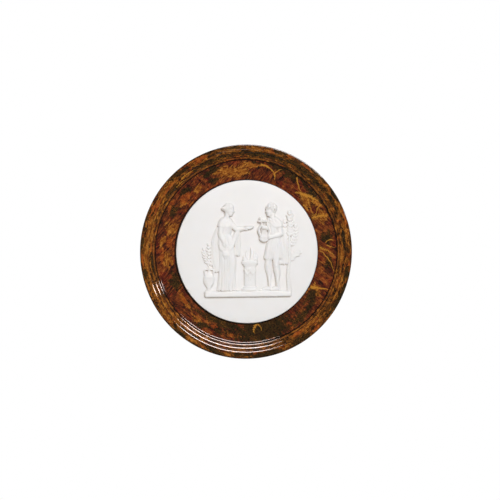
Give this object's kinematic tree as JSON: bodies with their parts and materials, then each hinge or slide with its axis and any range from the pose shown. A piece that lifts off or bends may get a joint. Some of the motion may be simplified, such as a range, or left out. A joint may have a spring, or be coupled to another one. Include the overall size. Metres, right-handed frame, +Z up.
{
  "type": "relief wall plaque",
  "caption": "Round wall plaque: a white cast medallion with classical figures in low relief, set in a turned and lacquered moulded frame with a hanging keyhole in its back.",
  "frame": {"origin": "middle of the flat back, on the wall", "axes": "+Y points out of the back into the wall, +Z is up as it hangs, and the relief faces -Y"},
  "size_m": [0.21, 0.0185, 0.21],
  "materials": {
    "frame_lacquer": "turned wood with a glossy painted tortoiseshell lacquer in red-brown, amber and greenish black",
    "medallion_resin": "matt white cast resin"
  },
  "bodies": {
    "root": {"frame": "frame_lacquer", "medallion": "medallion_resin"}
  },
  "joints": []
}
